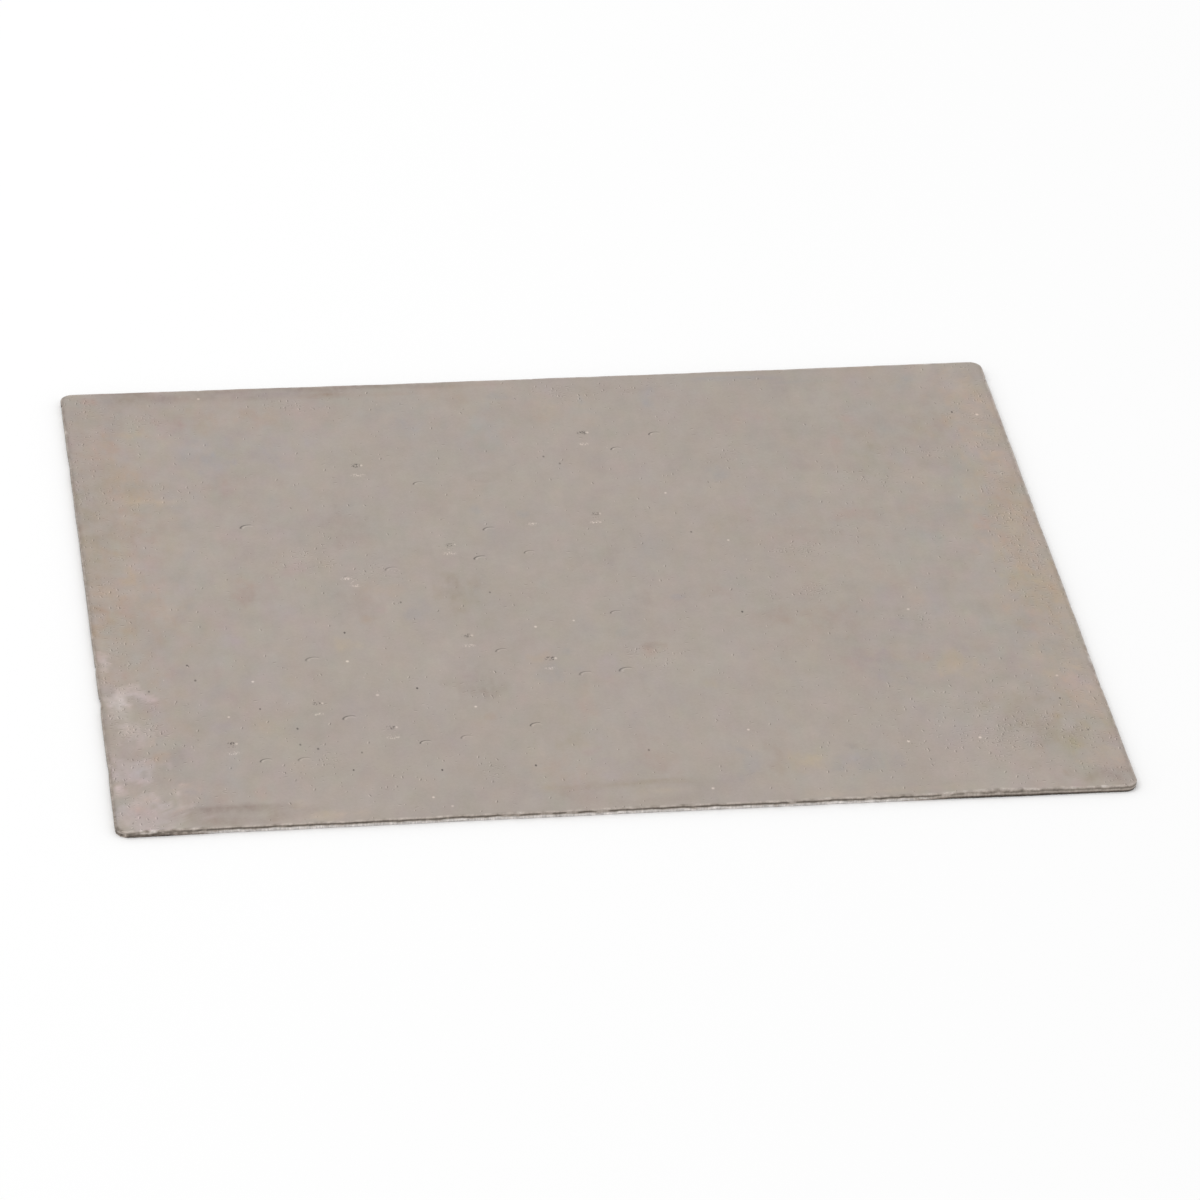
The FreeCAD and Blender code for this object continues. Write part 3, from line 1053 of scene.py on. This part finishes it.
def rolled_grain_group():
    """Value = 1 + amount x (streaks + fine grain + blotches + cloud), each about nought. Height is in mm."""
    group, given, result = new_group(
        "rolled_grain",
        [("Place", VECTOR, None), ("Amount", NUMBER, 1.0), ("Relief", NUMBER, 0.001)],
        [("Value", NUMBER), ("Height", NUMBER)],
    )
    drawn_out = node(group, "ShaderNodeMapping", {"Vector": given["Place"], "Scale": (1.0, 0.07, 1.0)})
    streaks = node(group, "ShaderNodeTexNoise", {"Vector": drawn_out.outputs[0], "Scale": 0.9, "Detail": 4.0})
    fine = node(group, "ShaderNodeTexNoise", {"Vector": given["Place"], "Scale": 2.6, "Detail": 3.0})
    blotch = node(group, "ShaderNodeTexNoise", {"Vector": given["Place"], "Scale": 0.45, "Detail": 3.0})
    broad = node(group, "ShaderNodeTexNoise", {"Vector": given["Place"], "Scale": 0.11, "Detail": 5.0})
    swing = maths(group, "MULTIPLY", maths(group, "SUBTRACT", streaks.outputs["Fac"], 0.5), STREAK_SWING)
    swing = maths(group, "MULTIPLY_ADD", maths(group, "SUBTRACT", fine.outputs["Fac"], 0.5), FINE_SWING, swing)
    blotch_swing = maths(group, "SUBTRACT", blotch.outputs["Fac"], 0.5)
    swing = maths(group, "MULTIPLY_ADD", blotch_swing, BLOTCH_SWING, swing)
    broad_swing = maths(group, "SUBTRACT", broad.outputs["Fac"], 0.5)
    swing = maths(group, "MULTIPLY_ADD", broad_swing, BROAD_SWING, swing)
    group.links.new(maths(group, "MULTIPLY_ADD", swing, given["Amount"], 1.0), result["Value"])
    both = maths(group, "ADD", streaks.outputs["Fac"], fine.outputs["Fac"])
    group.links.new(maths(group, "MULTIPLY", both, given["Relief"]), result["Height"])
    return group


rolled_grain = rolled_grain_group()
print("grain nodes:", len(rolled_grain.nodes))

# %% [markdown]
# ## Worn stains
#
# The mesh carries the stain colours, but only as finely as its points are spaced. The group makes their
# outlines and insides uneven below that size, by scaling how far the colour is from clean metal.

# %% Worn stain group
def worn_stain_group():
    """Colour = 1 + (tint - 1) x wear, where wear is a noise drawn out along Y that runs from about a half to
    one and a half."""
    group, given, result = new_group(
        "worn_stain",
        [("Place", VECTOR, None), ("Tint", COLOUR, (1, 1, 1, 1)), ("Wear", NUMBER, 1.0)],
        [("Colour", COLOUR)],
    )
    drawn_out = node(group, "ShaderNodeMapping", {"Vector": given["Place"], "Scale": (1.0, 0.45, 1.0)})
    patchy = node(group, "ShaderNodeTexNoise", {"Vector": drawn_out.outputs[0], "Scale": 1.1, "Detail": 4.0})
    wear = maths(group, "MULTIPLY", maths(group, "SUBTRACT", patchy.outputs["Fac"], 0.5), given["Wear"])
    wear = maths(group, "MULTIPLY_ADD", wear, 1.8, 1.0)
    change = node(group, "ShaderNodeVectorMath", {0: given["Tint"], 1: (1, 1, 1)}, operation="SUBTRACT")
    change = node(group, "ShaderNodeVectorMath", {0: change.outputs[0], "Scale": wear}, operation="SCALE")
    colour = node(group, "ShaderNodeVectorMath", {0: change.outputs[0], 1: (1, 1, 1)}, operation="ADD")
    group.links.new(colour.outputs[0], result["Colour"])
    return group


worn_stain = worn_stain_group()
print("worn stain nodes:", len(worn_stain.nodes))

# %% [markdown]
# ## Scuff dashes
#
# A Voronoi texture gives every point the middle of its own cell and three random numbers. That is enough to
# draw one small scuff in each cell: one number says whether the cell has any, one its turn, one its strength.

# %% Scuff group
def scuff_group():
    """In the cell's own turned frame, a dark ellipse of painted shade above the middle and a light one of painted
    highlight below it, so that a scuff reads as a tiny furrow. Shade = 1 - dark + light where the random number
    is under the density."""
    group, given, result = new_group(
        "scuff_painted_shading",
        [
            ("Place", VECTOR, None),
            ("Density", NUMBER, 0.1),
            ("Spacing", NUMBER, 1.1),
            ("Length", NUMBER, 0.4),
            ("Width", NUMBER, 0.12),
            ("Depth", NUMBER, 0.36),
        ],
        [("Shade", NUMBER)],
    )
    scale = maths(group, "DIVIDE", 1.0, given["Spacing"])
    cell_inputs = {"Vector": given["Place"], "Scale": scale}
    cells = node(group, "ShaderNodeTexVoronoi", cell_inputs, voronoi_dimensions="2D")
    chance, turn, strength = node(group, "ShaderNodeSeparateColor", {"Color": cells.outputs["Color"]}).outputs
    offset = node(
        group, "ShaderNodeVectorMath", {0: given["Place"], 1: cells.outputs["Position"]}, operation="SUBTRACT"
    )
    upright = maths(group, "MULTIPLY", maths(group, "GREATER_THAN", strength, 0.6), math.pi / 2)
    angle = maths(group, "MULTIPLY_ADD", maths(group, "SUBTRACT", turn, 0.5), 0.8, upright)
    turned = node(
        group, "ShaderNodeVectorRotate", {"Vector": offset.outputs[0], "Angle": angle}, rotation_type="Z_AXIS"
    )
    x, y, _ = node(group, "ShaderNodeSeparateXYZ", {0: turned.outputs[0]}).outputs
    dashes = []
    for side in (-0.8, 0.8):
        beside = maths(group, "MULTIPLY_ADD", given["Width"], side, y)
        gap = oval_distance(group, x, beside, given["Length"], given["Width"])
        dashes.append(soft_step(group, gap, 0.4, 1.1, 1.0, 0.0))
    # The dark dash is painted shade and the light dash a painted highlight.
    dark, light = dashes
    change = maths(group, "SUBTRACT", maths(group, "MULTIPLY", light, 0.7), dark)
    chosen = maths(group, "LESS_THAN", chance, given["Density"])
    amount = maths(group, "MULTIPLY", maths(group, "MULTIPLY_ADD", strength, 0.9, 0.2), given["Depth"])
    change = maths(group, "MULTIPLY", maths(group, "MULTIPLY", change, chosen), amount)
    group.links.new(maths(group, "ADD", change, 1.0), result["Shade"])
    return group


scuff_painted_shading = scuff_group()
print("scuff nodes:", len(scuff_painted_shading.nodes))

# %% [markdown]
# ## Drawing the hand marks
#
# Each mark is drawn from the offset that the mesh carries. A hook is the upper left quarter of an oval ring,
# darkest at its foot, with a light line along its inside that is a painted highlight. A pit is a dark dot and a
# fleck a bright one. A crushed spot is a cluster of tiny chips, dark at the back, painted shade where the light
# doesn't reach, with one spark at its end, and bright and wider at the front.

# %% Hand mark group
def hand_mark_group():
    """Shade = 1 - dark + light, inside the mark's reach. Height follows the shade, so dark parts are sunk."""
    group, given, result = new_group(
        "hand_marks_and_painted_light",
        [("Place", VECTOR, None), ("Offset", VECTOR, None), ("Near", NUMBER, 0.0), ("Force", NUMBER, 1.0)],
        [("Shade", NUMBER), ("Height", NUMBER)],
    )
    x, y, kind = node(group, "ShaderNodeSeparateXYZ", {0: given["Offset"]}).outputs
    hook_x = maths(group, "SUBTRACT", x, 0.45)
    hook_y = maths(group, "ADD", y, 0.45)
    out = oval_distance(group, hook_x, hook_y, 1.15, 0.85)
    lines = []
    for oval in (1.0, 0.66):
        from_line = maths(group, "ABSOLUTE", maths(group, "SUBTRACT", out, oval))
        lines.append(soft_step(group, from_line, 0.03, 0.19, 1.0, 0.0))
    dark = maths(group, "MULTIPLY", lines[0], soft_step(group, hook_x, -1.15, 0.5, -0.50, -0.32))
    # The light line inside the hook is a painted highlight.
    hook = maths(group, "MULTIPLY_ADD", lines[1], 0.17, dark)
    hook = maths(group, "MULTIPLY", hook, soft_step(group, hook_y, -0.30, 0.08))
    hook = maths(group, "MULTIPLY", hook, soft_step(group, hook_x, 0.35, 0.95, 1.0, 0.0))

    pit = soft_step(group, oval_distance(group, x, y, 0.17, 0.29), 0.4, 1.35, -0.62, 0.0)
    fleck = soft_step(group, oval_distance(group, x, y, 0.22, 0.26), 0.4, 1.4, 0.55, 0.0)

    drawn_out = node(group, "ShaderNodeMapping", {"Vector": given["Place"], "Scale": (1.0, 0.6, 1.0)})
    grit = node(group, "ShaderNodeTexNoise", {"Vector": drawn_out.outputs[0], "Scale": 4.4, "Detail": 2.0})
    chips = soft_step(group, grit.outputs["Fac"], 0.49, 0.58)
    # The dark area at the back of a crushed spot is painted shade.
    dark_area = soft_step(group, oval_distance(group, x, y, 1.05, 0.75), 0.3, 1.0, -0.62, 0.0)
    light_area = soft_step(group, oval_distance(group, x, y, 1.35, 0.62), 0.3, 1.0, 0.50, 0.0)
    spark_gap = oval_distance(group, maths(group, "SUBTRACT", x, 0.75), y, 0.20, 0.28)
    spark = soft_step(group, spark_gap, 0.4, 1.4, 0.5, 0.0)
    dark_chips = maths(group, "MULTIPLY_ADD", chips, dark_area, spark)
    light_chips = maths(group, "MULTIPLY", chips, light_area)

    drawings = {HOOK: hook, PIT: pit, FLECK: fleck, DARK_CHIPS: dark_chips, LIGHT_CHIPS: light_chips}
    change = 0.0
    for number, drawing in drawings.items():
        this_kind = maths(group, "COMPARE", kind, number, 0.4)
        change = maths(group, "MULTIPLY_ADD", drawing, this_kind, change)
    inside = maths(group, "MULTIPLY", soft_step(group, given["Near"], 0.5, 0.95), given["Force"])
    change = maths(group, "MULTIPLY", change, inside)
    group.links.new(maths(group, "ADD", change, 1.0), result["Shade"])
    group.links.new(maths(group, "MULTIPLY", change, 0.04), result["Height"])
    return group


hand_marks_and_painted_light = hand_mark_group()
print("groups:", [group.name for group in bpy.data.node_groups])

# %% [markdown]
# ## The two finishes
#
# Both are bare metal: Metallic is 1, so the base colour is the colour of its reflection. The rolled face is
# matt, because its fine roughness spreads the reflection wide. The cut is more polished on its land and
# rougher where it tore.

# %% Finishes
BARE_NICKEL = (0.413, 0.362, 0.323, 1.0)


def start_material(name):
    """A new node material. Returns it, its tree, its shader and the place in mm."""
    material = bpy.data.materials.new(name)
    material.use_nodes = True
    tree = material.node_tree
    shader = tree.nodes["Principled BSDF"]
    shader.inputs["Metallic"].default_value = 1.0
    in_metres = node(tree, "ShaderNodeTexCoord").outputs["Object"]
    in_mm = node(tree, "ShaderNodeMapping", {"Vector": in_metres, "Scale": (1 / MM, 1 / MM, 1 / MM)})
    return material, tree, shader, in_mm.outputs[0]


def add_group(tree, group, inputs):
    """Places a node group and returns its outputs."""
    made = node(tree, "ShaderNodeGroup", node_tree=group)
    for name, value in inputs.items():
        if isinstance(value, bpy.types.NodeSocket):
            tree.links.new(value, made.inputs[name])
        else:
            made.inputs[name].default_value = value
    return made.outputs


def rolled_face_material():
    """Bare nickel times stains with painted shade along the side edges, grain, and scuffs and marks with
    painted shade and highlights, with grain and marks as relief.
    """
    material, tree, shader, in_mm = start_material("rolled_nickel_face")
    tint = field(tree, "stain_tint").outputs["Color"]
    stains = add_group(tree, worn_stain, {"Place": in_mm, "Tint": tint, "Wear": 1.0})
    grain = add_group(tree, rolled_grain, {"Place": in_mm, "Amount": 1.0, "Relief": 0.0008})
    density = field(tree, "scuff_density").outputs["Fac"]
    scuffs = add_group(tree, scuff_painted_shading, {"Place": in_mm, "Density": density, "Spacing": 1.3})
    small = {"Place": in_mm, "Density": density, "Spacing": 0.62, "Length": 0.2, "Width": 0.1, "Depth": 0.34}
    small_scuffs = add_group(tree, scuff_painted_shading, small)
    marks = add_group(
        tree,
        hand_marks_and_painted_light,
        {
            "Place": in_mm,
            "Offset": field(tree, "mark_place").outputs["Vector"],
            "Near": field(tree, "mark_near").outputs["Fac"],
            "Force": field(tree, "mark_force").outputs["Fac"],
        },
    )
    shade = maths(tree, "MULTIPLY", grain["Value"], marks["Shade"])
    for scuff in (scuffs, small_scuffs):
        shade = maths(tree, "MULTIPLY", shade, scuff["Shade"])
    colour = times(tree, times(tree, stains["Colour"], BARE_NICKEL[:3]), shade)
    tree.links.new(colour, shader.inputs["Base Color"])
    height = maths(tree, "ADD", grain["Height"], marks["Height"])
    bump = node(tree, "ShaderNodeBump", {"Height": height, "Distance": MM, "Strength": 1.0})
    tree.links.new(bump.outputs[0], shader.inputs["Normal"])
    roughness = maths(tree, "MULTIPLY_ADD", grain["Value"], -0.8, 1.34)
    tree.links.new(roughness, shader.inputs["Roughness"])
    return material


def sheared_edge_material():
    """Bare nickel times the stripes of the cut, with their painted highlight, reflections and contact shadow.
    Upright scores come from noise drawn out in height, and the torn part is rougher than the land above it."""
    material, tree, shader, in_mm = start_material("sheared_nickel_edge")
    tint = field(tree, "stain_tint").outputs["Color"]
    stains = add_group(tree, worn_stain, {"Place": in_mm, "Tint": tint, "Wear": 0.15})
    upright = node(tree, "ShaderNodeMapping", {"Vector": in_mm, "Scale": (1.0, 1.0, 0.12)})
    scores = node(tree, "ShaderNodeTexNoise", {"Vector": upright.outputs[0], "Scale": 3.5, "Detail": 4.0})
    torn = node(tree, "ShaderNodeTexNoise", {"Vector": in_mm, "Scale": 4.5, "Detail": 5.0})
    shade = soft_step(tree, scores.outputs["Fac"], 0.30, 0.70, 0.86, 1.12)
    colour = times(tree, times(tree, stains["Colour"], BARE_NICKEL[:3]), shade)
    tree.links.new(colour, shader.inputs["Base Color"])
    z = node(tree, "ShaderNodeSeparateXYZ", {0: in_mm}).outputs["Z"]
    tear = soft_step(tree, z, 0.9 * FRACTURE_HEIGHT, 1.2 * FRACTURE_HEIGHT, 1.0, 0.0)
    tree.links.new(soft_step(tree, tear, 0.0, 1.0, 0.42, 0.75), shader.inputs["Roughness"])
    rough = maths(tree, "MULTIPLY", torn.outputs["Fac"], maths(tree, "MULTIPLY", tear, 0.05))
    height = maths(tree, "MULTIPLY_ADD", scores.outputs["Fac"], 0.012, rough)
    bump = node(tree, "ShaderNodeBump", {"Height": height, "Distance": MM, "Strength": 1.0})
    tree.links.new(bump.outputs[0], shader.inputs["Normal"])
    return material


plate.data.materials.append(rolled_face_material())
plate.data.materials.append(sheared_edge_material())
print("finishes:", [material.name for material in plate.data.materials])

# %% [markdown]
# ## Floor, world and lamps
#
# The plate lies on plain white board in a white room. Bare metal shows what is round it, so the room has to
# be as white in reflections as it is to the camera, while the light it gives is kept lower. One big soft
# lamp, high on the left and a little to the back, gives the floor the plate's thin shadow along its front and
# right edges.

# %% Floor
FLOOR_SIZE = 6.0  # m
FLOOR_GAP = 0.02  # mm below the plate, so that the two never share a plane
FLOOR_WHITE = 0.98


def make_floor():
    """One large square of matt white."""
    half = FLOOR_SIZE / 2
    low = -FLOOR_GAP * MM
    corners = [(-half, -half, low), (half, -half, low), (half, half, low), (-half, half, low)]
    mesh = bpy.data.meshes.new("floor")
    mesh.from_pydata(corners, [], [(0, 1, 2, 3)])
    floor = bpy.data.objects.new("floor", mesh)
    bpy.context.scene.collection.objects.link(floor)
    material = bpy.data.materials.new("white_board")
    material.use_nodes = True
    shader = material.node_tree.nodes["Principled BSDF"]
    shader.inputs["Base Color"].default_value = (FLOOR_WHITE, FLOOR_WHITE, FLOOR_WHITE, 1.0)
    shader.inputs["Roughness"].default_value = 1.0
    shader.inputs["Specular IOR Level"].default_value = 0.0
    floor.data.materials.append(material)
    return floor


floor = make_floor()
print("floor, m across:", FLOOR_SIZE)

# %% World and lamps
ROOM_LIGHT = 0.84  # what the room gives matt things; reflections see it at 1
KEY_POWER = 6.5
KEY_SIZE = 1.2
KEY_DISTANCE = 1.7
KEY_AZIMUTH = math.radians(-75)
KEY_ELEVATION = math.radians(62)


def make_world():
    """White, at strength 1 to the camera, to reflections and through glass, and at ROOM_LIGHT otherwise."""
    world = bpy.data.worlds.new("white_room")
    world.use_nodes = True
    tree = world.node_tree
    ray = node(tree, "ShaderNodeLightPath").outputs
    seen = maths(tree, "MAXIMUM", ray["Is Camera Ray"], ray["Is Glossy Ray"])
    seen = maths(tree, "MAXIMUM", seen, ray["Is Transmission Ray"])
    strength = maths(tree, "MULTIPLY_ADD", seen, 1.0 - ROOM_LIGHT, ROOM_LIGHT)
    tree.nodes["Background"].inputs["Color"].default_value = (1.0, 1.0, 1.0, 1.0)
    tree.links.new(strength, tree.nodes["Background"].inputs["Strength"])
    bpy.context.scene.world = world


def make_key():
    """A square soft lamp on a sphere round the plate, facing its middle."""
    away = Vector(
        (
            math.sin(KEY_AZIMUTH) * math.cos(KEY_ELEVATION),
            math.cos(KEY_AZIMUTH) * math.cos(KEY_ELEVATION),
            math.sin(KEY_ELEVATION),
        )
    )
    data = bpy.data.lights.new("key", "AREA")
    data.energy = KEY_POWER
    data.size = KEY_SIZE
    key = bpy.data.objects.new("key", data)
    key.location = away * KEY_DISTANCE
    key.rotation_euler = away.to_track_quat("Z", "Y").to_euler()
    bpy.context.scene.collection.objects.link(key)


make_world()
make_key()
bpy.context.scene.view_settings.view_transform = "Standard"
print("lamp power, W:", KEY_POWER)

# %% [markdown]
# ## Hand the pieces to the frame
#
# The plate is one loose piece of stock, so it rides on the part's only body and stands for its only node.

# %% Hand the pieces to the frame
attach(plate, "root")
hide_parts("nickel_plate")
print("stands for nickel_plate:", plate.name)
